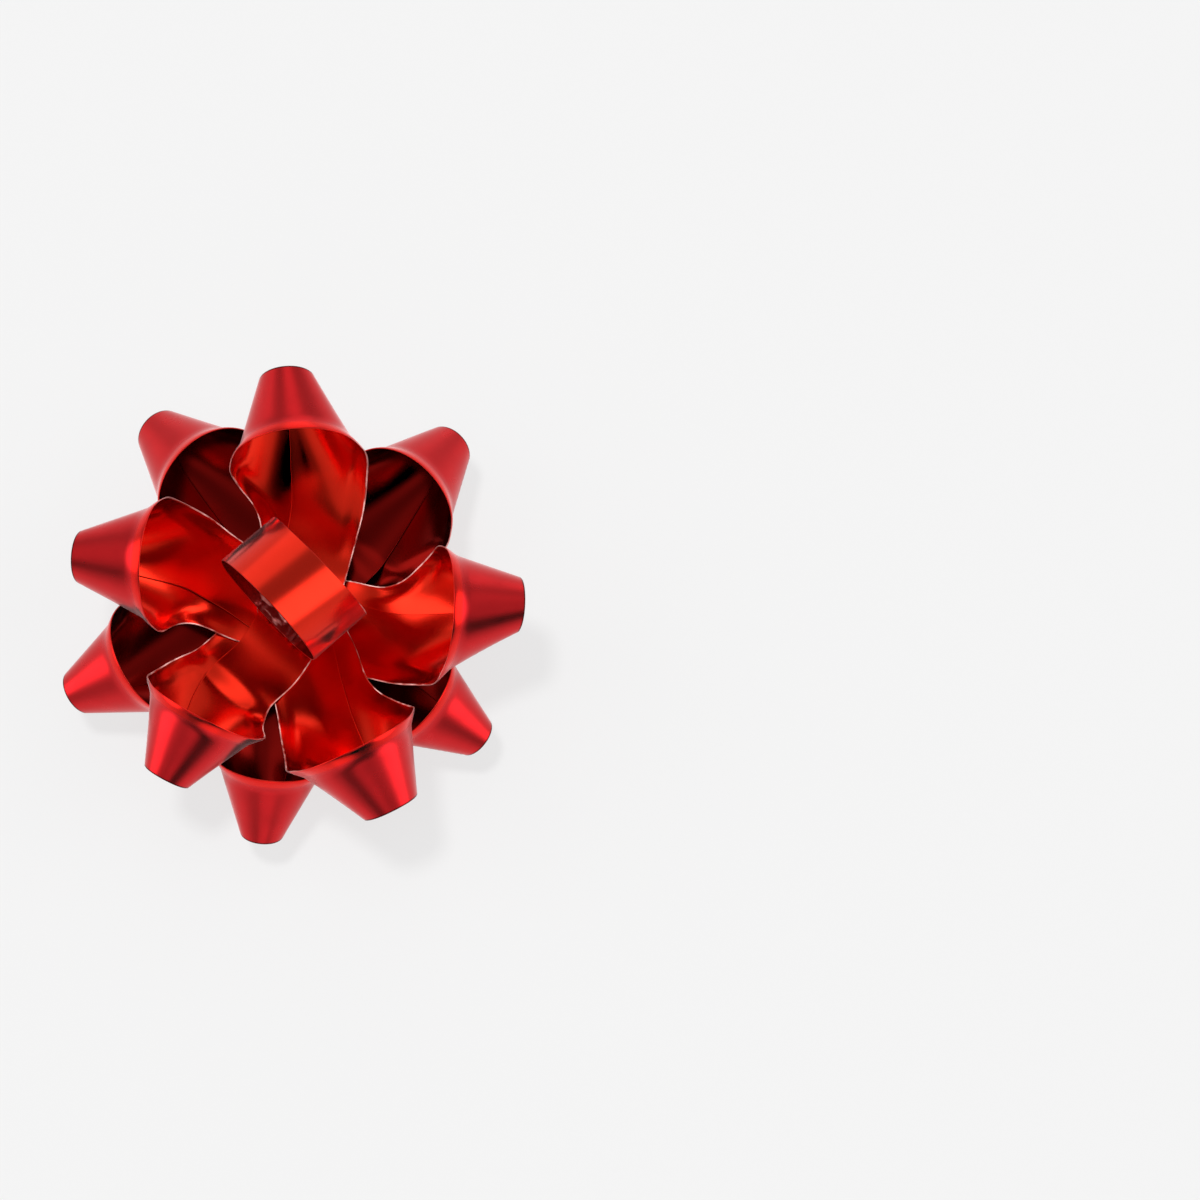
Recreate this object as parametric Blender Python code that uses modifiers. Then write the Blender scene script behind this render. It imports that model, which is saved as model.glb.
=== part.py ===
"""A pre-made star gift bow, metres, +Z up.

A ten millimetre ribbon is wound into ten conical loops in two tiers of five, with one round
loop on top. Every strip of ribbon between two loops crosses the middle, where a weld holds
them all on a card disc with an adhesive pad and a peel-off liner. The origin is the middle of
the liner's underside, and +X, +Y lie along the table.
"""
from math import cos, pi, radians, sin, tan
from typing import NamedTuple

import bmesh
import bpy
import numpy as np
from mathutils import Matrix

# Driving dimensions
RIBBON_WIDTH = 0.010
FILM = 0.00015
GAP = 0.0003
LAYER = FILM + GAP
CONE_WIDE = radians(23.5)
CONE_HIGH = radians(19)
LEG_SPREAD = radians(17)
LEG_TURN_IN = radians(9.2)
TURN_IN_FROM = radians(34)
TURN_IN_TO = radians(62)
FLAT_TO = 0.006
HINGE_AT = 0.0178
YAW_TO = 0.022
KINK_TO = 0.014
TWIST_SHARE = 0.6
LOOPS_PER_TIER = 5
TIER_GAP = 0.0006

LINER_RADIUS = 0.0125
LINER_TAB = 0.004
LINER_TAB_NARROWNESS = 12
LINER_THICK = 0.0002
PAD_RADIUS = 0.011
PAD_THICK = 0.0008
CARD_RADIUS = 0.0125
CARD_THICK = 0.0005
WELD_RADIUS = 0.0013
WELD_HEAD = 0.0026
WELD_HEAD_THICK = 0.0003
CENTRE_RADIUS = 0.0093
CENTRE_AZIMUTH = radians(-46)
CENTRE_LAP = radians(24)
CENTRE_ALONG = -0.001
CENTRE_ASIDE = 0.0022
CENTRE_LEAN = 0.05
CENTRE_TILT = radians(18)

# Heights of the stack, from the table up
PAD_UNDER = LINER_THICK + GAP
CARD_UNDER = PAD_UNDER + PAD_THICK + GAP
WELD_UNDER = CARD_UNDER + CARD_THICK + GAP / 2
LOWER_AT = CARD_UNDER + CARD_THICK + GAP + FILM / 2
UPPER_AT = LOWER_AT + LOOPS_PER_TIER * LAYER + TIER_GAP
HEAD_UNDER = UPPER_AT + (LOOPS_PER_TIER - 1) * LAYER + FILM / 2 + GAP
CENTRE_UNDER = HEAD_UNDER + WELD_HEAD_THICK + GAP

# Mesh fineness
LOOP_STEPS = 36
CROSS_STEPS = 22
WIDTH_STEPS = 3
ROUND_SIDES = 40
WELD_SIDES = 16
CONE_SAMPLES = 1041
LEG_SAMPLES = 200


class Loop(NamedTuple):
    """One conical loop: its azimuth, its lift, how far its apex is and how it is turned aside."""

    azimuth: float
    lift: float
    reach: float
    yaw: float


def loops_from(rows):
    """Loops from rows of azimuth and lift in degrees, reach in metres and yaw in degrees."""
    return [Loop(radians(a), radians(lift), reach, radians(yaw)) for a, lift, reach, yaw in rows]


# Anticlockwise from the first loop of each tier
LOWER_LOOPS = loops_from(
    (
        (47, 5, 0.0411, 4),
        (117.5, 7, 0.0418, 17),
        (196.5, 8, 0.0396, 7),
        (262.5, 2, 0.0378, 0),
        (325.5, 4, 0.0378, 3),
    )
)
UPPER_LOOPS = loops_from(
    (
        (82.5, 29.5, 0.0441, 15.5),
        (156.5, 30.5, 0.0421, 22),
        (228.5, 27, 0.0410, 15.5),
        (291.5, 25, 0.0453, 8),
        (352, 29, 0.0449, 10.5),
    )
)
# Each tier's loops, the height of its lowest strip, and the loop from which that strip leaves
TIERS = {"lower": (LOWER_LOOPS, LOWER_AT, 0), "upper": (UPPER_LOOPS, UPPER_AT, 2)}


def clear_scene():
    for item in list(bpy.data.objects):
        bpy.data.objects.remove(item, do_unlink=True)


def make_material(name, colour, roughness, metallic=0.0):
    material = bpy.data.materials.new(name)
    material.use_nodes = True
    shader = material.node_tree.nodes["Principled BSDF"]
    shader.inputs["Base Color"].default_value = (*colour, 1.0)
    shader.inputs["Roughness"].default_value = roughness
    shader.inputs["Metallic"].default_value = metallic
    return material


def smooth(share):
    """A soft step from 0 to 1."""
    share = np.clip(share, 0.0, 1.0)
    return share * share * (3 - 2 * share)


def cone_ray(turned):
    """Straight lines of the flattened cone at angles round it, 0 on top, from its tip."""
    ray = np.stack(
        (
            np.ones_like(turned),
            tan(CONE_WIDE) * np.sin(turned),
            tan(CONE_HIGH) * np.cos(turned),
        ),
        axis=-1,
    )
    return ray / np.linalg.norm(ray, axis=-1, keepdims=True)


def cone_rays():
    """Angles round the flattened cone, and the angle of flat ribbon wound on as far as each.

    The whole of the ribbon's turn from leg to leg is spread over one turn of the cone.
    """
    turned = np.linspace(-1.3 * pi, 1.3 * pi, CONE_SAMPLES)
    steps = np.linalg.norm(np.diff(cone_ray(turned), axis=0), axis=1)
    run = np.concatenate(([0.0], np.cumsum(steps)))
    run -= np.interp(0.0, turned, run)
    return turned, run * (pi / 2 - LEG_SPREAD) / np.interp(pi, turned, run)


CONE_TURN, CONE_WOUND = cone_rays()


def turn(x, y, angle):
    """A point turned in its plane."""
    return x * np.cos(angle) - y * np.sin(angle), x * np.sin(angle) + y * np.cos(angle)


def strip_layer(tier, index):
    """How many layers up the strip lies that leaves the loop of this index clockwise."""
    lowest = TIERS[tier][2]
    winding = [(lowest + 2 * step) % LOOPS_PER_TIER for step in range(LOOPS_PER_TIER)]
    return winding.index(index % LOOPS_PER_TIER)


def leg_layers(tier, index):
    """How many layers up the loop's clockwise and anticlockwise legs lie."""
    return strip_layer(tier, index), strip_layer(tier, index - 2)


def kink(loops, index, side):
    """The angle by which a leg turns in the plane, so that it meets the next loop's leg."""
    first = index if side < 0 else (index - 2) % LOOPS_PER_TIER
    second = (first + 2) % LOOPS_PER_TIER
    spread = (loops[second].azimuth - loops[first].azimuth) % (2 * pi)
    return side * (pi - spread - 2 * (LEG_SPREAD - LEG_TURN_IN)) / 2


def wound_on(loop, along, across):
    """Where flat ribbon lies once it is wound on a loop's cone.

    along runs from the loop's top down its legs and across from the tip's edge to the
    mouth's. The answers are out from the middle of the bow, sideways, and up, before the legs
    are bent up and turned to meet their neighbours.
    """
    side = np.where(along >= 0, 1.0, -1.0)
    nearest = loop.reach * sin(LEG_SPREAD) + across
    far = np.hypot(along, nearest)
    wound = np.arctan2(np.abs(along), nearest)
    ray = cone_ray(np.interp(wound, CONE_WOUND, CONE_TURN))
    out = loop.reach - far * (ray[..., 0] * cos(CONE_HIGH) - ray[..., 2] * sin(CONE_HIGH))
    up = far * (ray[..., 0] * sin(CONE_HIGH) + ray[..., 2] * cos(CONE_HIGH))
    sideways = far * ray[..., 1]
    under = smooth((wound - TURN_IN_FROM) / (TURN_IN_TO - TURN_IN_FROM))
    short = pi / 2 - LEG_SPREAD - wound
    out += (loop.reach - far * np.cos(short) - out) * under
    sideways += (far * np.sin(short) - sideways) * under
    out, sideways = turn(out, sideways, -LEG_TURN_IN * under)
    cup = sideways**2 * tan(CONE_HIGH) / (2 * (loop.reach - out) * tan(CONE_WIDE) ** 2)
    up += (cup - up) * under
    return out, side * sideways, up


def bend_up(loop, out, up):
    """Bend a flat leg up to the loop's lift between the welded middle and the hinge."""
    radius = (HINGE_AT - FLAT_TO) / loop.lift
    turned = np.clip((out - FLAT_TO) / radius, 0.0, loop.lift)
    beyond = np.maximum(out - HINGE_AT, 0.0)
    flat_out = np.minimum(out, FLAT_TO) + radius * np.sin(turned) + beyond * cos(loop.lift)
    flat_up = radius * (1 - np.cos(turned)) + beyond * sin(loop.lift)
    return flat_out - up * np.sin(turned), flat_up + up * np.cos(turned)


def place(tier, index, along, across):
    """World points of a tier's ribbon on one loop, from distances on the flat ribbon."""
    loops, height, _ = TIERS[tier]
    loop = loops[index]
    out, sideways, up = wound_on(loop, along, across)
    from_middle = loop.reach * cos(LEG_SPREAD) - np.abs(along)
    kinks = np.where(along >= 0, kink(loops, index, 1), kink(loops, index, -1))
    out, sideways = turn(out, sideways, kinks * (1 - smooth(from_middle / KINK_TO)))
    yaw = loop.yaw * smooth((out - FLAT_TO) / (YAW_TO - FLAT_TO))
    turned, sideways = turn(out - HINGE_AT, sideways, yaw)
    out = turned + HINGE_AT
    raised = smooth((out - FLAT_TO) / (HINGE_AT - FLAT_TO))
    clockwise, anticlockwise = leg_layers(tier, index)
    leg_starts = loop.reach * cos(LEG_SPREAD) - HINGE_AT / cos(LEG_SPREAD)
    over = along / (TWIST_SHARE * leg_starts)
    layer = clockwise + (anticlockwise - clockwise) * smooth((over + 1) / 2)
    radial, rise = bend_up(loop, out, up * raised)
    x, y = turn(radial, sideways, loop.azimuth)
    return np.stack((x, y, height + layer * LAYER + rise), axis=-1)


def leg_end(loop, across, out):
    """How far along the ribbon, from the loop's top, a leg reaches this distance out."""
    steps = np.linspace(0.0, loop.reach * cos(LEG_SPREAD), LEG_SAMPLES)
    outs = wound_on(loop, steps, across)[0]
    return float(np.interp(-out, -outs, steps))


def hinge_frame(tier, index):
    """The joint's axis as a matrix: on the hinge line, x out along the loop, y along the axis."""
    loops, height, _ = TIERS[tier]
    loop = loops[index]
    radial, rise = bend_up(loop, HINGE_AT, 0.0)
    layer = sum(leg_layers(tier, index)) / 2
    at = (radial * cos(loop.azimuth), radial * sin(loop.azimuth), height + layer * LAYER + rise)
    return Matrix.Translation(at) @ Matrix.Rotation(loop.azimuth, 4, "Z")


def film_strip(name, steps, point, material, collection, frame=None):
    """A thin strip: a grid whose (0..1, 0..1) points are carried to point(), then thickened."""
    frame = frame or Matrix.Identity(4)
    mesh = bpy.data.meshes.new(name)
    grid = bmesh.new()
    bmesh.ops.create_grid(grid, x_segments=steps, y_segments=WIDTH_STEPS, size=0.5)
    for vertex in grid.verts:
        vertex.co = point(vertex.co.x + 0.5, vertex.co.y + 0.5)
    grid.to_mesh(mesh)
    grid.free()
    mesh.transform(frame.inverted())
    mesh.shade_smooth()
    strip = bpy.data.objects.new(name, mesh)
    strip.matrix_world = frame
    collection.objects.link(strip)
    mesh.materials.append(material)
    thick = strip.modifiers.new("Film", "SOLIDIFY")
    thick.thickness = FILM
    thick.offset = 0.0
    return strip


def make_loop(tier, index, material, collection):
    """The free part of one conical loop, beyond its hinge line."""
    loop = TIERS[tier][0][index]

    def point(share, width):
        across = (width - 0.5) * RIBBON_WIDTH
        end = leg_end(loop, across, HINGE_AT)
        return place(tier, index, (2 * share - 1) * end, across)

    name = f"{tier}_loop_{index + 1}"
    return film_strip(name, LOOP_STEPS, point, material, collection, hinge_frame(tier, index))


def make_crossing(tier, index, material, collection):
    """The strip across the middle, from one loop's clockwise leg to the next but one."""
    loops = TIERS[tier][0]
    other = (index + 2) % LOOPS_PER_TIER

    def point(share, width):
        across = (width - 0.5) * RIBBON_WIDTH
        which, side = (index, -1) if share < 0.5 else (other, 1)
        loop = loops[which]
        start = leg_end(loop, across, HINGE_AT - GAP)
        middle = loop.reach * cos(LEG_SPREAD)
        inward = 2 * share if share < 0.5 else 2 * (1 - share)
        return place(tier, which, side * (start + inward * (middle - start)), across)

    name = f"{tier}_crossing_{index + 1}"
    return film_strip(name, CROSS_STEPS, point, material, collection)


def make_weld(material, collection):
    """The fused core through the ribbon's layers, with a wider pressed head on top."""
    profile = (
        (0.0, HEAD_UNDER + WELD_HEAD_THICK),
        (WELD_HEAD, HEAD_UNDER + WELD_HEAD_THICK),
        (WELD_HEAD, HEAD_UNDER),
        (WELD_RADIUS, HEAD_UNDER),
        (WELD_RADIUS, WELD_UNDER),
        (0.0, WELD_UNDER),
    )
    corners = [(radius, 0, height) for radius, height in profile]
    edges = [(corner, corner + 1) for corner in range(len(profile) - 1)]
    mesh = bpy.data.meshes.new("centre_weld")
    mesh.from_pydata(corners, edges, [])
    weld = bpy.data.objects.new("centre_weld", mesh)
    collection.objects.link(weld)
    mesh.materials.append(material)
    turned = weld.modifiers.new("Turned", "SCREW")
    turned.axis = "Z"
    turned.steps = WELD_SIDES
    turned.render_steps = WELD_SIDES
    turned.use_merge_vertices = True
    turned.merge_threshold = 0.00001
    return weld


def make_weld_cutter(collection):
    """The round hole that the weld leaves through every layer."""
    bpy.ops.mesh.primitive_cylinder_add(
        vertices=WELD_SIDES,
        radius=WELD_RADIUS + GAP,
        depth=HEAD_UNDER - WELD_UNDER,
        location=(0, 0, (HEAD_UNDER + WELD_UNDER) / 2),
    )
    cutter = bpy.context.object
    cutter.name = "weld_hole"
    cutter.hide_render = True
    cutter.display_type = "WIRE"
    for holder in list(cutter.users_collection):
        holder.objects.unlink(cutter)
    collection.objects.link(cutter)
    return cutter


def cut_hole(strip, cutter):
    hole = strip.modifiers.new("Weld hole", "BOOLEAN")
    hole.operation = "DIFFERENCE"
    hole.solver = "EXACT"
    hole.object = cutter


def centre_frame():
    """Where the centre loop stands: x along its winding, y across its ribbon."""
    aside = Matrix.Translation((CENTRE_ALONG, 0, 0))
    return Matrix.Translation((0, 0, CENTRE_UNDER)) @ Matrix.Rotation(CENTRE_AZIMUTH, 4, "Z") @ aside


def make_centre_loop(material, collection):
    """The round loop on top, wound a little more than once so that its ends lap at the weld.

    The weld holds it near one edge of its ribbon, and it leans back over the weld. Its ribbon
    lies flat there and is twisted on top, the edge that leans back standing higher.
    """
    sweep = 2 * (pi + CENTRE_LAP)
    hub = CENTRE_RADIUS + LAYER / 2 + FILM / 2

    def point(share, width):
        angle = (share - 0.5) * sweep
        radius = CENTRE_RADIUS + LAYER * angle / (2 * pi)
        height = hub + radius * cos(angle)
        tilt = CENTRE_TILT * (1 + cos(angle)) / 2
        across = (width - 0.5) * RIBBON_WIDTH
        aside = across * cos(tilt) + CENTRE_ASIDE - CENTRE_LEAN * height
        return radius * sin(angle), aside, height - across * sin(tilt)

    loop = film_strip("centre_loop", LOOP_STEPS, point, material, collection)
    loop.matrix_world = centre_frame()
    return loop


def make_disc(name, radius, under, thick, material, collection, tab=0.0):
    """A flat disc cut from sheet, with a finger tab on +X if it has one."""
    curve = bpy.data.curves.new(name, "CURVE")
    curve.dimensions = "2D"
    curve.fill_mode = "BOTH"
    curve.extrude = thick / 2
    spline = curve.splines.new("POLY")
    spline.points.add(ROUND_SIDES - 1)
    for step, corner in enumerate(spline.points):
        angle = 2 * pi * step / ROUND_SIDES
        bulge = tab * max(0.0, cos(angle)) ** LINER_TAB_NARROWNESS
        corner.co = ((radius + bulge) * cos(angle), (radius + bulge) * sin(angle), 0, 1)
    spline.use_cyclic_u = True
    disc = bpy.data.objects.new(name, curve)
    disc.location.z = under + thick / 2
    collection.objects.link(disc)
    curve.materials.append(material)
    return disc


def build():
    clear_scene()
    bow = bpy.data.collections.new("gift_bow")
    bpy.context.scene.collection.children.link(bow)
    cutters = bpy.data.collections.new("cutters")
    bpy.context.scene.collection.children.link(cutters)
    red = make_material("ribbon_film", (0.72, 0.01, 0.012), 0.22, 0.85)
    weld_hole = make_weld_cutter(cutters)
    for tier in TIERS:
        for index in range(LOOPS_PER_TIER):
            make_loop(tier, index, red, bow)
            cut_hole(make_crossing(tier, index, red, bow), weld_hole)
    make_weld(make_material("fused_film", (0.45, 0.01, 0.01), 0.4, 0.3), bow)
    make_centre_loop(red, bow)
    paper = make_material("liner_paper", (0.85, 0.84, 0.8), 0.6)
    foam = make_material("adhesive_foam", (0.9, 0.9, 0.88), 0.8)
    card = make_material("base_card", (0.62, 0.5, 0.36), 0.85)
    make_disc("release_liner", LINER_RADIUS, 0.0, LINER_THICK, paper, bow, LINER_TAB)
    make_disc("adhesive_pad", PAD_RADIUS, PAD_UNDER, PAD_THICK, foam, bow)
    make_disc("base_card", CARD_RADIUS, CARD_UNDER, CARD_THICK, card, bow)


build()
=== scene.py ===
"""Looks of a pre-made star gift bow of red metallised ribbon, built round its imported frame.

Ten conical loops of ribbon in two tiers, one round loop on top, a melted weld in the
middle, and underneath a card disc, a foam adhesive pad and a peel-off liner. Metres, +Z up.
"""
from math import cos, pi, radians, sin, tan
from typing import NamedTuple

import bmesh
import bpy
import numpy as np
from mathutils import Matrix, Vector


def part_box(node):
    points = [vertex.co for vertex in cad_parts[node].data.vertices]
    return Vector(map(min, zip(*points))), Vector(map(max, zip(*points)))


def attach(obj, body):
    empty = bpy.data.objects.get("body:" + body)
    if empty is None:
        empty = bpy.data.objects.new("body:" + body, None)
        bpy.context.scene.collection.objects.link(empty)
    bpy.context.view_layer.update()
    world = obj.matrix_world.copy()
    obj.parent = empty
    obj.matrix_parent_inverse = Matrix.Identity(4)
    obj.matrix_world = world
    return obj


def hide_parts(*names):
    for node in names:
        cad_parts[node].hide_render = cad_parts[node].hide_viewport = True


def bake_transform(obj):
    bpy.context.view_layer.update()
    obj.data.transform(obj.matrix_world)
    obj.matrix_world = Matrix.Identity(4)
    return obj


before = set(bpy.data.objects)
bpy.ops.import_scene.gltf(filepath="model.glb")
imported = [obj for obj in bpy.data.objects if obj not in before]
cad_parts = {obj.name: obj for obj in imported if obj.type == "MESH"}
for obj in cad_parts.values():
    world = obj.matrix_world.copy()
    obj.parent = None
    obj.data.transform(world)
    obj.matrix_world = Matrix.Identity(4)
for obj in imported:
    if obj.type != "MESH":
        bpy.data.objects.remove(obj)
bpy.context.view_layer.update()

# The ribbon and the way it is wound, as the frame has them
RIBBON_WIDTH = 0.010
FILM = 0.00015
LAYER = 0.00045
CARD_GAP = 0.0003
TIER_GAP = 0.0006
CONE_WIDE = radians(23.5)
CONE_HIGH = radians(19)
LEG_SPREAD = radians(17)
LEG_TURN_IN = radians(9.2)
TURN_IN_FROM = radians(34)
TURN_IN_TO = radians(62)
FLAT_TO = 0.006
HINGE_AT = 0.0178
YAW_TO = 0.022
KINK_TO = 0.014
TWIST_SHARE = 0.6
LOOPS_PER_TIER = 5
CENTRE_RADIUS = 0.0093
CENTRE_AZIMUTH = radians(-46)
CENTRE_LAP = radians(24)
CENTRE_ALONG = -0.001
CENTRE_ASIDE = 0.0022
CENTRE_LEAN = 0.05
CENTRE_TILT = radians(18)

# How a loop's two legs come together outside the middle: one film above the other
LEG_STEP = 0.0003
LEGS_APART_TO = 0.0115
LEGS_CLOSE_FROM = 0.0155

# The flared edge of the mouths, and the film's small waves, which die away at the middle
CURL_WIDTH = 0.0021
CURL_RISE = 0.0006
CURL_LEG_SHARE = 0.85
RIPPLE = 0.00004
RIPPLE_WAVES = (0.011, 0.016, 0.024)
RIPPLE_ASKEW = 0.5
RIPPLE_SEEDS = {"lower": 50, "upper": 55, "centre": 40}
FADE = 0.012

# The crumpled part of the centre loop, from the loop's top down and across it
CRUMPLE = 0.0005
CRUMPLE_WAVES = (0.0013, 0.0019, 0.0027, 0.0036)
CRUMPLE_ASKEW = 0.7
CRUMPLE_SEED = 41
CRUMPLED_FROM = 0.0225
CRUMPLED_TO = 0.0255
PINCH_FROM = 0.001
PINCH_TO = -0.003
CREASE_STRETCH = 0.3

# Where the film's markings and painted highlights start and are full, across it, and how far from
# a loop's top
BAND_FROM = 0.0036
BAND_TO = 0.0040
EDGE_HIGHLIGHT_FROM = 0.00482
EDGE_HIGHLIGHT_TO = 0.00488
HIGHLIGHT_LEGS_FROM = 0.009
HIGHLIGHT_LEGS_TO = 0.013
DARK_TIP_FROM = -0.00478
DARK_TIP_TO = -0.00488
CUT_BLEND = 0.004

# The grids that the strips and the cone are worked out on
LONG_STEPS = 150
WIDE_STEPS = 18
CONE_STEPS = 1040
CONE_TURNED_TO = 1.3 * pi
SHORTEST_NORMAL = 1e-12

# Reds of the film
SATIN_RED = (0.66, 0.014, 0.018)
BAND_RED = (0.78, 0.012, 0.008)
BRIGHT_RED = (0.96, 0.030, 0.012)
# Painted shade: the lower tier's inner sides, darkened for the upper tier's shade
PAINTED_SHADE_RED = (0.17, 0.004, 0.003)
# Painted shade: the bright film's red, darkened for the centre loop's outside
TOP_PAINTED_SHADE_RED = (0.74, 0.026, 0.011)
INNER_RED = (0.55, 0.012, 0.010)
INNER_CLOUD = (0.42, 0.010, 0.008)
# Painted shade and painted glints in the weld's crumples
CREASE_SHADE_RED = (0.20, 0.006, 0.005)
CREASE_PAINTED_GLINT = (0.90, 0.34, 0.31)
CUT_DARK = (0.10, 0.003, 0.004)
CUT_DEEP = (0.45, 0.012, 0.008)
CUT_RED = (0.75, 0.03, 0.02)
# Painted highlight: the pale, glinting cut edges down the legs
CUT_HIGHLIGHT_ROSE = (0.75, 0.12, 0.10)
CUT_HIGHLIGHT_PALE = (1.0, 0.72, 0.68)
# Painted highlight: the pale, glinting line along the mouth's edge down the legs
HIGHLIGHT_LINE_RED = (0.35, 0.03, 0.02)
HIGHLIGHT_LINE_PALE = (1.0, 0.60, 0.55)

# The studio's greys from the horizon to straight above, by the sine of the elevation
STUDIO_GREYS = (
    (0.0, 0.89),
    (0.12, 0.89),
    (0.3, 0.60),
    (0.6, 0.40),
    (0.8, 0.35),
    (0.9, 0.65),
    (1.0, 0.34),
)
# Soft boxes: azimuth, elevation and half size in degrees, and strength, < 0 for a black flag
SOFT_BOXES = (
    (5, 32, 18, 1.9),
    (175, 32, 18, 1.9),
    (90, 26, 16, 0.7),
    (95, 62, 12, 0.7),
    (270, 26, 12, 0.6),
    (270, 48, 12, -0.35),
    (270, 67, 8, 0.3),
    (312, 45, 14, -0.42),
    (236, 44, 8, -0.3),
)
SOFT_BOX_EDGE = 7
FLOOR_HALF = 5.0
FLOOR_DROP = 0.0001


class Loop(NamedTuple):
    """One conical loop: its azimuth, its lift, how far its apex is and how it is turned aside."""

    azimuth: float
    lift: float
    reach: float
    yaw: float


def loops_from(rows):
    """Loops from rows of azimuth and lift in degrees, reach in metres and yaw in degrees."""
    return [Loop(radians(a), radians(lift), reach, radians(yaw)) for a, lift, reach, yaw in rows]


# Each tier's loops, anticlockwise: azimuth, lift, reach and yaw
LOWER_LOOPS = loops_from(
    (
        (47, 5, 0.0411, 4),
        (117.5, 7, 0.0418, 17),
        (196.5, 8, 0.0396, 7),
        (262.5, 2, 0.0378, 0),
        (325.5, 4, 0.0378, 3),
    )
)
UPPER_LOOPS = loops_from(
    (
        (82.5, 29.5, 0.0441, 15.5),
        (156.5, 30.5, 0.0421, 22),
        (228.5, 27, 0.0410, 15.5),
        (291.5, 25, 0.0453, 8),
        (352, 29, 0.0449, 10.5),
    )
)
LOWER_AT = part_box("base_card")[1].z + CARD_GAP + FILM / 2
UPPER_AT = LOWER_AT + LOOPS_PER_TIER * LAYER + TIER_GAP
CENTRE_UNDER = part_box("centre_loop")[0].z
# Each tier's loops, the height of its lowest strip, and the index of the loop that it leaves
TIERS = {"lower": (LOWER_LOOPS, LOWER_AT, 0), "upper": (UPPER_LOOPS, UPPER_AT, 2)}


def smooth(share):
    """A soft step from 0 to 1."""
    share = np.clip(share, 0.0, 1.0)
    return share * share * (3 - 2 * share)


def turn(x, y, angle):
    """Turn a place in the plane anticlockwise about the origin."""
    return x * np.cos(angle) - y * np.sin(angle), x * np.sin(angle) + y * np.cos(angle)


def cone_ray(angle):
    """Straight lines of the flattened cone at angles round it, as unit vectors from its tip."""
    sideways = tan(CONE_WIDE) * np.sin(angle)
    up = tan(CONE_HIGH) * np.cos(angle)
    ray = np.stack((np.ones_like(angle), sideways, up), axis=-1)
    return ray / np.linalg.norm(ray, axis=-1, keepdims=True)


def cone_rays():
    """Angles round the flattened cone, and the angle of flat ribbon wound on as far as each."""
    angles = np.linspace(-CONE_TURNED_TO, CONE_TURNED_TO, CONE_STEPS + 1)
    steps = np.linalg.norm(np.diff(cone_ray(angles), axis=0), axis=1)
    run = np.concatenate(([0.0], np.cumsum(steps)))
    run -= np.interp(0.0, angles, run)
    return angles, run * (pi / 2 - LEG_SPREAD) / np.interp(pi, angles, run)


CONE_ANGLES, CONE_WOUND = cone_rays()


def strip_layer(tier, index):
    """How many layers up the strip lies that leaves the loop of this index clockwise."""
    lowest = TIERS[tier][2]
    winding = [(lowest + 2 * step) % LOOPS_PER_TIER for step in range(LOOPS_PER_TIER)]
    return winding.index(index % LOOPS_PER_TIER)


def kink(loops, index, side):
    """The angle by which a leg turns in the plane, so that it meets the next loop's leg."""
    first = index if side < 0 else (index - 2) % LOOPS_PER_TIER
    second = (first + 2) % LOOPS_PER_TIER
    spread = (loops[second].azimuth - loops[first].azimuth) % (2 * pi)
    return side * (pi - spread - 2 * (LEG_SPREAD - LEG_TURN_IN)) / 2


def wound_on(loop, along, across):
    """Where flat ribbon lies once it is wound on a loop's cone.

    along runs from the loop's top down its legs and across from the tip's edge to the
    mouth's. The answers are out from the middle of the bow, sideways, and up, before the legs
    are bent up and turned to meet their neighbours.
    """
    side = np.where(along >= 0, 1.0, -1.0)
    nearest = loop.reach * sin(LEG_SPREAD) + across
    far = np.hypot(along, nearest)
    wound = np.arctan2(np.abs(along), nearest)
    ray = cone_ray(np.interp(wound, CONE_WOUND, CONE_ANGLES))
    out = loop.reach - far * (ray[..., 0] * cos(CONE_HIGH) - ray[..., 2] * sin(CONE_HIGH))
    up = far * (ray[..., 0] * sin(CONE_HIGH) + ray[..., 2] * cos(CONE_HIGH))
    sideways = far * ray[..., 1]
    under = smooth((wound - TURN_IN_FROM) / (TURN_IN_TO - TURN_IN_FROM))
    short = pi / 2 - LEG_SPREAD - wound
    out += (loop.reach - far * np.cos(short) - out) * under
    sideways += (far * np.sin(short) - sideways) * under
    out, sideways = turn(out, sideways, -LEG_TURN_IN * under)
    cup = sideways**2 * tan(CONE_HIGH) / (2 * (loop.reach - out) * tan(CONE_WIDE) ** 2)
    up += (cup - up) * under
    return out, side * sideways, up


def ribbon_points(tier, index, along, across):
    """World points of a tier's ribbon on one loop, from arrays of distances on the flat ribbon."""
    loops, height, _ = TIERS[tier]
    loop = loops[index]
    out, sideways, up = wound_on(loop, along, across)
    from_middle = loop.reach * cos(LEG_SPREAD) - np.abs(along)
    kinks = np.where(along >= 0, kink(loops, index, 1), kink(loops, index, -1))
    out, sideways = turn(out, sideways, kinks * (1 - smooth(from_middle / KINK_TO)))
    yaw = loop.yaw * smooth((out - FLAT_TO) / (YAW_TO - FLAT_TO))
    turned, sideways = turn(out - HINGE_AT, sideways, yaw)
    out = turned + HINGE_AT
    raised = smooth((out - FLAT_TO) / (HINGE_AT - FLAT_TO))
    leg_starts = loop.reach * cos(LEG_SPREAD) - HINGE_AT / cos(LEG_SPREAD)
    over = along / (TWIST_SHARE * leg_starts)
    level = leg_level(tier, index, 2 * smooth((over + 1) / 2) - 1, out)
    radial, rise = bend_up(loop, out, up * raised)
    x, y = turn(radial, sideways, loop.azimuth)
    return np.stack((x, y, height + level + rise), axis=-1)


def leg_level(tier, index, leg, out):
    """Height of a strip over its tier's lowest: leg is -1 on the clockwise leg and 1 on the other.

    In the middle each leg lies in its own layer, and further out the two lie close together.
    """
    clockwise, anticlockwise = strip_layer(tier, index), strip_layer(tier, index - 2)
    middle = (clockwise + anticlockwise) / 2 * LAYER
    apart = (anticlockwise - clockwise) / 2 * LAYER
    close = np.sign(apart) * LEG_STEP / 2
    outward = smooth((out - LEGS_APART_TO) / (LEGS_CLOSE_FROM - LEGS_APART_TO))
    return middle + leg * (apart + (close - apart) * outward)


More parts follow.
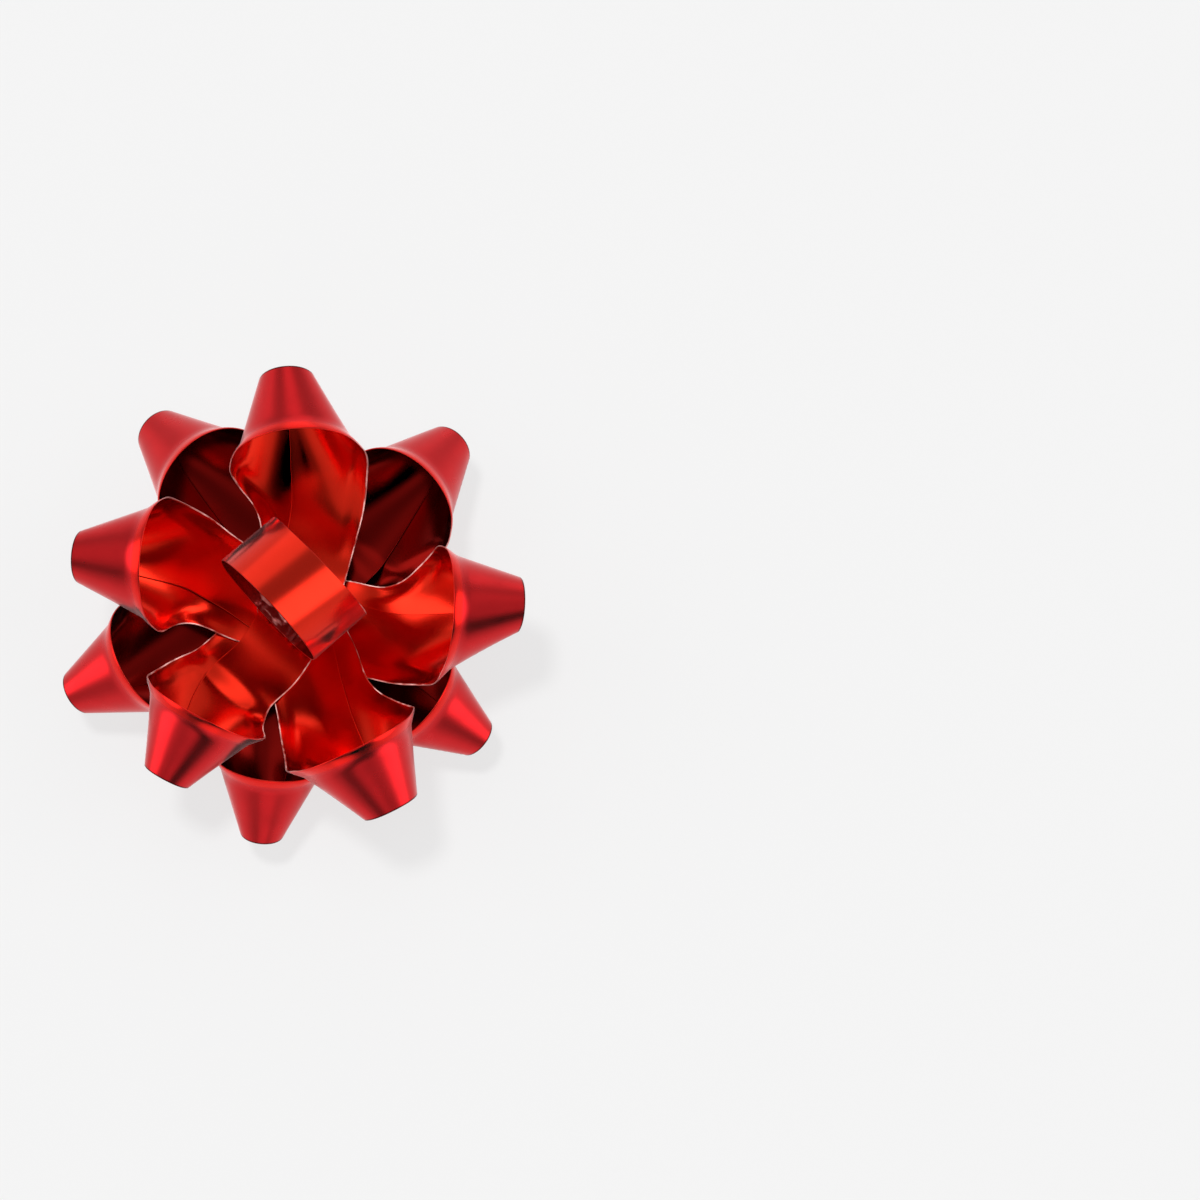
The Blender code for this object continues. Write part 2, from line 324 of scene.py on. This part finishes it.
def bend_up(loop, out, up):
    """Bend a flat leg up to the loop's lift between the welded middle and the hinge."""
    radius = (HINGE_AT - FLAT_TO) / loop.lift
    bend = np.clip((out - FLAT_TO) / radius, 0.0, loop.lift)
    beyond = np.maximum(out - HINGE_AT, 0.0)
    flat_out = np.minimum(out, FLAT_TO) + radius * np.sin(bend) + beyond * cos(loop.lift)
    flat_up = radius * (1 - np.cos(bend)) + beyond * sin(loop.lift)
    return flat_out - up * np.sin(bend), flat_up + up * np.cos(bend)


def normals_of(points):
    """Unit normals of a grid of points."""
    lengthways = np.gradient(points, axis=0)
    widthways = np.gradient(points, axis=1)
    cross = np.cross(lengthways, widthways)
    return cross / np.maximum(np.linalg.norm(cross, axis=-1, keepdims=True), SHORTEST_NORMAL)


def ripples(seed, along, across):
    """Small waves in the film, different on each strip."""
    random = np.random.default_rng(seed)
    total = np.zeros_like(along)
    for wave in RIPPLE_WAVES:
        heading = random.uniform(-RIPPLE_ASKEW, RIPPLE_ASKEW)
        phase = random.uniform(0, 2 * pi)
        total += np.sin(2 * pi * (along * cos(heading) + across * sin(heading)) / wave + phase)
    return total / len(RIPPLE_WAVES)


def crumples(seed, along, across):
    """Short sharp creases, running mostly across the strip."""
    random = np.random.default_rng(seed)
    total = np.zeros_like(along)
    for wave in CRUMPLE_WAVES:
        heading = random.uniform(-CRUMPLE_ASKEW, CRUMPLE_ASKEW)
        phase = random.uniform(0, 2 * pi)
        total += 1 - 2 * np.abs(
            np.sin(pi * (along * cos(heading) + across * sin(heading)) / wave + phase)
        )
    return total / len(CRUMPLE_WAVES)


def film_object(name, points, along, across, materials):
    """A strip of film as an object: a grid of quads through the points, thickened.

    materials are those of its outer side, its inner side and its cut edges. Each point keeps
    its place on the flat ribbon, which the materials read.
    """
    rows, columns = points.shape[:2]
    mesh = bpy.data.meshes.new(name)
    grid = bmesh.new()
    corners = [[grid.verts.new(points[i, j]) for j in range(columns)] for i in range(rows)]
    for i in range(rows - 1):
        for j in range(columns - 1):
            grid.faces.new(
                (corners[i][j], corners[i + 1][j], corners[i + 1][j + 1], corners[i][j + 1])
            )
    grid.to_mesh(mesh)
    grid.free()
    mesh.shade_smooth()
    flat = mesh.attributes.new("flat_place", "FLOAT_VECTOR", "POINT")
    places = np.stack((np.abs(along), across, np.zeros_like(along)), axis=-1)
    flat.data.foreach_set("vector", places.ravel())
    strip = bpy.data.objects.new(name, mesh)
    bpy.context.scene.collection.objects.link(strip)
    for material in materials:
        mesh.materials.append(material)
    thick = strip.modifiers.new("Film", "SOLIDIFY")
    thick.thickness = FILM
    thick.offset = 0.0
    thick.material_offset = 1
    thick.material_offset_rim = 2
    return strip


def flat_grid(half_length):
    """Distances along and across the flat ribbon, closer together near its edges."""
    lengths = np.linspace(-half_length, half_length, LONG_STEPS + 1)
    widths = np.sin(np.linspace(-pi / 2, pi / 2, WIDE_STEPS + 1)) * RIBBON_WIDTH / 2
    return np.meshgrid(lengths, widths, indexing="ij")


def make_ribbon(tier, index):
    """One conical loop with both its legs, back to the middle of the bow."""
    loop = TIERS[tier][0][index]
    middle = loop.reach * cos(LEG_SPREAD)
    along, across = flat_grid(middle)
    points = ribbon_points(tier, index, along, across)
    normals = normals_of(points)
    free = smooth((middle - np.abs(along)) / FADE)
    loose = smooth((CURL_LEG_SHARE * middle - np.abs(along)) / FADE)
    curl = smooth((across - RIBBON_WIDTH / 2 + CURL_WIDTH) / CURL_WIDTH) * CURL_RISE * loose
    wave = ripples(RIPPLE_SEEDS[tier] + index, along, across) * RIPPLE * free
    points = points + normals * (curl + wave)[..., None]
    sides = (SATIN, INNER_SIDES[tier], EDGE)
    strip = film_object(f"{tier}_ribbon_{index + 1}", points, along, across, sides)
    other = (index - 2) % LOOPS_PER_TIER
    body = f"{tier}_loop_{index + 1}"
    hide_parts(body, f"{tier}_crossing_{index + 1}", f"{tier}_crossing_{other + 1}")
    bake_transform(strip)


def make_centre_loop():
    """The round loop on top, wound a little more than once."""
    sweep = 2 * (pi + CENTRE_LAP)
    hub = CENTRE_RADIUS + LAYER / 2 + FILM / 2
    length = sweep * CENTRE_RADIUS
    along, across = flat_grid(length / 2)
    angle = along / CENTRE_RADIUS
    radius = CENTRE_RADIUS + LAYER * angle / (2 * pi)
    height = hub + radius * np.cos(angle)
    tilt = CENTRE_TILT * (1 + np.cos(angle)) / 2
    aside = across * np.cos(tilt) + CENTRE_ASIDE - CENTRE_LEAN * height
    x, y = turn(radius * np.sin(angle) + CENTRE_ALONG, aside, CENTRE_AZIMUTH)
    points = np.stack((x, y, CENTRE_UNDER + height - across * np.sin(tilt)), axis=-1)
    low_down = smooth((np.abs(along) - CRUMPLED_FROM) / (CRUMPLED_TO - CRUMPLED_FROM))
    pinched = low_down * smooth((across - PINCH_FROM) / (PINCH_TO - PINCH_FROM))
    wave = ripples(RIPPLE_SEEDS["centre"], along, across) * RIPPLE
    wave += crumples(CRUMPLE_SEED, along, across) * CRUMPLE * pinched
    points = points + normals_of(points) * wave[..., None]
    loop = film_object("centre_ribbon", points, along, across, (TOP, CRUMPLED, EDGE))
    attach(loop, "centre_loop")
    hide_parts("centre_loop")


def node_tree(name):
    """A new material, its node tree and its shader."""
    material = bpy.data.materials.new(name)
    material.use_nodes = True
    tree = material.node_tree
    return material, tree, tree.nodes["Principled BSDF"]


def place_of(tree):
    """Where a point is in its object's own space, in metres."""
    return tree.nodes.new("ShaderNodeTexCoord").outputs["Object"]


def noise(tree, vector, scale, detail=2.0):
    """Soft random values about 0.5, in patches about 1 / scale metres across."""
    node = tree.nodes.new("ShaderNodeTexNoise")
    node.inputs["Scale"].default_value = scale
    node.inputs["Detail"].default_value = detail
    tree.links.new(vector, node.inputs["Vector"])
    return node.outputs["Fac"]


def carry(tree, value, start, end):
    """Carry a value from one range, its lowest and highest, over to another, clamped."""
    node = tree.nodes.new("ShaderNodeMapRange")
    for name, limit in zip(("From Min", "From Max", "To Min", "To Max"), (*start, *end)):
        node.inputs[name].default_value = limit
    tree.links.new(value, node.inputs["Value"])
    return node.outputs["Result"]


def mix_numbers(tree, share, first, second):
    """first where share is 0, and second where it is 1, both of them sockets or numbers."""
    node = tree.nodes.new("ShaderNodeMix")
    tree.links.new(share, node.inputs["Factor"])
    for name, number in (("A", first), ("B", second)):
        if isinstance(number, float):
            node.inputs[name].default_value = number
        else:
            tree.links.new(number, node.inputs[name])
    return node.outputs["Result"]


def mix_colours(tree, share, first, second):
    """first where share is 0, and second where it is 1, both of them sockets or colours."""
    node = tree.nodes.new("ShaderNodeMix")
    node.data_type = "RGBA"
    tree.links.new(share, node.inputs["Factor"])
    for name, colour in (("A", first), ("B", second)):
        if isinstance(colour, tuple):
            node.inputs[name].default_value = (*colour, 1)
        else:
            tree.links.new(colour, node.inputs[name])
    return node.outputs["Result"]


def bump(tree, height, distance):
    """A normal for a surface raised by distance metres where height is 1."""
    node = tree.nodes.new("ShaderNodeBump")
    node.inputs["Distance"].default_value = distance
    tree.links.new(height, node.inputs["Height"])
    return node.outputs["Normal"]


def flat_place(tree):
    """Where a point is on the flat ribbon: from the loop's top down its legs, and across.

    The first is never negative. The second runs from the tip's edge, < 0, to the mouth's.
    """
    flat = tree.nodes.new("ShaderNodeAttribute")
    flat.attribute_name = "flat_place"
    split = tree.nodes.new("ShaderNodeSeparateXYZ")
    tree.links.new(flat.outputs["Vector"], split.inputs["Vector"])
    return split.outputs["X"], split.outputs["Y"]


def darker(colour, share=0.8):
    """A share of a colour's brightness."""
    return tuple(share * part for part in colour)


def satin_material():
    """The ribbon's lacquered side: a clouded red mirror with a fine grain.

    The flared band along the mouth's edge is a brighter red and shines more, and the cut along the
    tip's edge is dark.
    """
    material, tree, shader = node_tree("film_satin")
    place = place_of(tree)
    _, across = flat_place(tree)
    clouds = noise(tree, place, scale=350.0)
    band = carry(tree, across, (BAND_FROM, BAND_TO), (0.0, 1.0))
    tip = carry(tree, across, (DARK_TIP_TO, DARK_TIP_FROM), (1.0, 0.0))
    satin = mix_colours(tree, clouds, SATIN_RED, darker(SATIN_RED))
    marked = mix_colours(tree, tip, mix_colours(tree, band, satin, BAND_RED), CUT_DARK)
    satin_rough = carry(tree, clouds, (0.0, 1.0), (0.24, 0.34))
    band_rough = 0.22
    rough = mix_numbers(tree, band, satin_rough, band_rough)
    grain = noise(tree, place, scale=6000.0)
    tree.links.new(marked, shader.inputs["Base Color"])
    tree.links.new(rough, shader.inputs["Roughness"])
    tree.links.new(bump(tree, grain, distance=0.000004), shader.inputs["Normal"])
    shader.inputs["Metallic"].default_value = 1.0
    shader.inputs["Sheen Weight"].default_value = 0.4
    shader.inputs["Sheen Roughness"].default_value = 0.45
    shader.inputs["Sheen Tint"].default_value = (1.0, 0.65, 0.65, 1)
    return material


def bright_material(name, red, haze):
    """A smoother side of the ribbon: a red mirror, only slightly clouded, under some haze.

    A pale, glinting line of painted highlight runs along its mouth's edge where it goes down the
    legs.
    """
    material, tree, shader = node_tree(name)
    place = place_of(tree)
    down, across = flat_place(tree)
    clouds = noise(tree, place, scale=250.0)
    # Painted highlight: a pale line with glints along the mouth's edge down the legs, in less
    # metallic film
    legs = carry(tree, down, (HIGHLIGHT_LEGS_FROM, HIGHLIGHT_LEGS_TO), (0.0, 1.0))
    edge = carry(tree, across, (EDGE_HIGHLIGHT_FROM, EDGE_HIGHLIGHT_TO), (0.0, 1.0))
    pale = mix_numbers(tree, legs, 0.0, edge)
    colour = mix_colours(tree, clouds, red, darker(red, share=0.9))
    glints = carry(tree, noise(tree, place, scale=500.0), (0.4, 0.65), (0.0, 1.0))
    edge_highlight = mix_colours(tree, glints, HIGHLIGHT_LINE_RED, HIGHLIGHT_LINE_PALE)
    film_metal, highlight_metal = 1.0, 0.2
    metal = mix_numbers(tree, pale, film_metal, highlight_metal)
    rough = carry(tree, clouds, (0.0, 1.0), (0.16, 0.23))
    grain = noise(tree, place, scale=6000.0)
    tree.links.new(mix_colours(tree, pale, colour, edge_highlight), shader.inputs["Base Color"])
    tree.links.new(metal, shader.inputs["Metallic"])
    tree.links.new(rough, shader.inputs["Roughness"])
    tree.links.new(bump(tree, grain, distance=0.000001), shader.inputs["Normal"])
    shader.inputs["Sheen Weight"].default_value = haze
    shader.inputs["Sheen Roughness"].default_value = 0.4
    shader.inputs["Sheen Tint"].default_value = (1.0, 0.7, 0.7, 1)
    return material


def edge_material():
    """The cut edges of the film: a pale, glinting painted highlight down the legs' mouth side,
    dark elsewhere.
    """
    material, tree, shader = node_tree("film_edge")
    place = place_of(tree)
    down, across = flat_place(tree)
    grain = noise(tree, place, scale=900.0)
    # Painted highlight: the mouth side's cut edge turns pale and glinting down the legs
    pale = mix_colours(tree, grain, CUT_HIGHLIGHT_ROSE, CUT_HIGHLIGHT_PALE)
    legs = carry(tree, down, (HIGHLIGHT_LEGS_FROM, HIGHLIGHT_LEGS_TO), (0.0, 1.0))
    mouth = mix_colours(tree, legs, CUT_RED, pale)
    tip = mix_colours(tree, legs, CUT_DARK, CUT_DEEP)
    towards_mouth = carry(tree, across, (-CUT_BLEND, CUT_BLEND), (0.0, 1.0))
    colour = mix_colours(tree, towards_mouth, tip, mouth)
    tree.links.new(colour, shader.inputs["Base Color"])
    shader.inputs["Metallic"].default_value = 0.6
    shader.inputs["Roughness"].default_value = 0.35
    return material


def crumpled_material():
    """The centre loop's inner side: dark red, and where the weld crumples it painted shade with
    pale painted glints.

    The glints are stretched along the ribbon.
    """
    material, tree, shader = node_tree("film_crumpled")
    place = place_of(tree)
    down, across = flat_place(tree)
    clouds = noise(tree, place, scale=300.0)
    pinched = carry(tree, across, (PINCH_TO, PINCH_FROM), (1.0, 0.0))
    low_down = carry(tree, down, (CRUMPLED_FROM, CRUMPLED_TO), (0.0, 1.0))
    crumpled = mix_numbers(tree, low_down, 0.0, pinched)
    smooth_red = mix_colours(tree, clouds, INNER_RED, INNER_CLOUD)
    stretched = tree.nodes.new("ShaderNodeCombineXYZ")
    tree.links.new(carry(tree, down, (0.0, 1.0), (0.0, CREASE_STRETCH)), stretched.inputs["X"])
    tree.links.new(across, stretched.inputs["Y"])
    creases = noise(tree, stretched.outputs["Vector"], scale=1100.0, detail=3.0)
    # Painted shade in the creases, with pale painted glints along them
    glints = carry(tree, creases, (0.56, 0.66), (0.0, 1.0))
    painted_crease_light = mix_colours(tree, glints, CREASE_SHADE_RED, CREASE_PAINTED_GLINT)
    smooth_metal, creased_metal = 1.0, 0.5
    metal = mix_numbers(tree, crumpled, smooth_metal, creased_metal)
    rough = carry(tree, clouds, (0.0, 1.0), (0.2, 0.3))
    wrinkles = noise(tree, place, scale=900.0, detail=4.0)
    tree.links.new(mix_colours(tree, crumpled, smooth_red, painted_crease_light), shader.inputs["Base Color"])
    tree.links.new(metal, shader.inputs["Metallic"])
    tree.links.new(rough, shader.inputs["Roughness"])
    tree.links.new(bump(tree, wrinkles, distance=0.00012), shader.inputs["Normal"])
    return material


SATIN = satin_material()
BRIGHT = bright_material("film_bright", BRIGHT_RED, haze=0.0)
# A far darker copy of the bright film: painted shade on the lower tier's inner sides
PAINTED_SHADE_SIDE = bright_material("film_painted_shade", PAINTED_SHADE_RED, haze=0.0)
# The centre loop's outside: the bright film in a darker red, which is painted shade
TOP = bright_material("film_top", TOP_PAINTED_SHADE_RED, haze=0.15)
CRUMPLED = crumpled_material()
EDGE = edge_material()
# The lower tier's inner sides are far darker: painted shade, for the shade of the upper tier
INNER_SIDES = {"lower": PAINTED_SHADE_SIDE, "upper": BRIGHT}


def make_camera():
    """A long lens above the bow's near side, aimed to the bow's right."""
    width_seen = 0.171
    distance = 0.75
    elevation = radians(76)
    aim = Vector((0.0432, 0.0045, 0))
    camera = bpy.data.cameras.new("camera")
    camera.sensor_width = 36.0
    camera.lens = camera.sensor_width * distance / width_seen
    camera.clip_start = 0.01
    holder = bpy.data.objects.new("camera", camera)
    bpy.context.scene.collection.objects.link(holder)
    back = Vector((0, -cos(elevation), sin(elevation)))
    holder.location = aim + back * distance
    holder.rotation_euler = (-back).to_track_quat("-Z", "Y").to_euler()
    bpy.context.scene.camera = holder


def make_floor():
    """A sheet of plain paper that glows faintly, so that it stays as pale as the studio."""
    mesh = bpy.data.meshes.new("floor")
    grid = bmesh.new()
    bmesh.ops.create_grid(grid, x_segments=1, y_segments=1, size=FLOOR_HALF)
    grid.to_mesh(mesh)
    grid.free()
    floor = bpy.data.objects.new("floor", mesh)
    floor.location.z = -FLOOR_DROP
    bpy.context.scene.collection.objects.link(floor)
    material, _, shader = node_tree("floor_paper")
    shader.inputs["Base Color"].default_value = (0.12, 0.12, 0.12, 1)
    shader.inputs["Emission Color"].default_value = (1.0, 1.0, 1.0, 1)
    shader.inputs["Emission Strength"].default_value = 0.72
    shader.inputs["Roughness"].default_value = 0.9
    shader.inputs["Specular IOR Level"].default_value = 0.1
    mesh.materials.append(material)


def heading_of(azimuth, elevation):
    """A direction from its azimuth and elevation in degrees."""
    level = cos(radians(elevation))
    return (
        level * cos(radians(azimuth)),
        level * sin(radians(azimuth)),
        sin(radians(elevation)),
    )


def add_soft_box(tree, light, direction, azimuth, elevation, half_size, strength):
    """The studio's light with one soft box or black flag more, round and with a soft edge."""
    facing = tree.nodes.new("ShaderNodeVectorMath")
    facing.operation = "DOT_PRODUCT"
    facing.inputs[1].default_value = heading_of(azimuth, elevation)
    tree.links.new(direction, facing.inputs[0])
    edges = (cos(radians(half_size + SOFT_BOX_EDGE)), cos(radians(half_size)))
    added = tree.nodes.new("ShaderNodeVectorMath")
    added.operation = "ADD"
    tree.links.new(light, added.inputs[0])
    tree.links.new(carry(tree, facing.outputs["Value"], edges, (0.0, strength)), added.inputs[1])
    return added.outputs["Vector"]


def make_world():
    """A dim studio with a pale horizon, and soft boxes and black flags round the bow."""
    world = bpy.data.worlds.new("studio")
    bpy.context.scene.world = world
    world.use_nodes = True
    tree = world.node_tree
    background = tree.nodes["Background"]
    direction = tree.nodes.new("ShaderNodeTexCoord").outputs["Generated"]
    split = tree.nodes.new("ShaderNodeSeparateXYZ")
    tree.links.new(direction, split.inputs["Vector"])
    ramp = tree.nodes.new("ShaderNodeValToRGB")
    elements = ramp.color_ramp.elements
    elements[0].position, elements[-1].position = STUDIO_GREYS[0][0], STUDIO_GREYS[-1][0]
    for position, _ in STUDIO_GREYS[1:-1]:
        elements.new(position)
    for element, (_, grey) in zip(elements, STUDIO_GREYS):
        element.color = (grey, grey, grey, 1)
    tree.links.new(split.outputs["Z"], ramp.inputs["Fac"])
    light = ramp.outputs["Color"]
    for box in SOFT_BOXES:
        light = add_soft_box(tree, light, direction, *box)
    tree.links.new(light, background.inputs["Color"])


def make_lamp():
    """A broad lamp high on the left, for a faint shadow to the right and towards the camera."""
    shining = Vector((0.17, -0.13, -1))
    lamp = bpy.data.lights.new("lamp", "SUN")
    lamp.energy = 2.4
    lamp.angle = radians(9)
    holder = bpy.data.objects.new("lamp", lamp)
    holder.rotation_euler = shining.to_track_quat("-Z", "Y").to_euler()
    holder.visible_glossy = False
    bpy.context.scene.collection.objects.link(holder)


class Finish(NamedTuple):
    """A piece of the base: its colour and shine, and the scale and depth of its grain."""

    colour: tuple
    metallic: float
    roughness: float
    scale: float
    depth: float


def finish_base():
    """Finishes of the base: card, foam pad, liner and the melted weld."""
    finishes = {
        "base_card": Finish((0.55, 0.44, 0.32), 0.0, 0.85, 900.0, 0.00004),
        "adhesive_pad": Finish((0.88, 0.87, 0.83), 0.0, 0.7, 2500.0, 0.00004),
        "release_liner": Finish((0.86, 0.84, 0.78), 0.0, 0.45, 1500.0, 0.00001),
        "centre_weld": Finish((0.45, 0.012, 0.010), 1.0, 0.25, 650.0, 0.0006),
    }
    for node, finish in finishes.items():
        material, tree, shader = node_tree(node)
        grain = noise(tree, place_of(tree), finish.scale, detail=6.0)
        colour = mix_colours(tree, grain, darker(finish.colour), finish.colour)
        tree.links.new(colour, shader.inputs["Base Color"])
        tree.links.new(bump(tree, grain, finish.depth), shader.inputs["Normal"])
        shader.inputs["Metallic"].default_value = finish.metallic
        shader.inputs["Roughness"].default_value = finish.roughness
        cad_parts[node].data.materials.clear()
        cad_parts[node].data.materials.append(material)


make_camera()
make_world()
make_lamp()
make_floor()
for tier_name in TIERS:
    for loop_index in range(LOOPS_PER_TIER):
        make_ribbon(tier_name, loop_index)
make_centre_loop()
finish_base()
# Colours as they are, with no film curve
bpy.context.scene.view_settings.view_transform = "Standard"
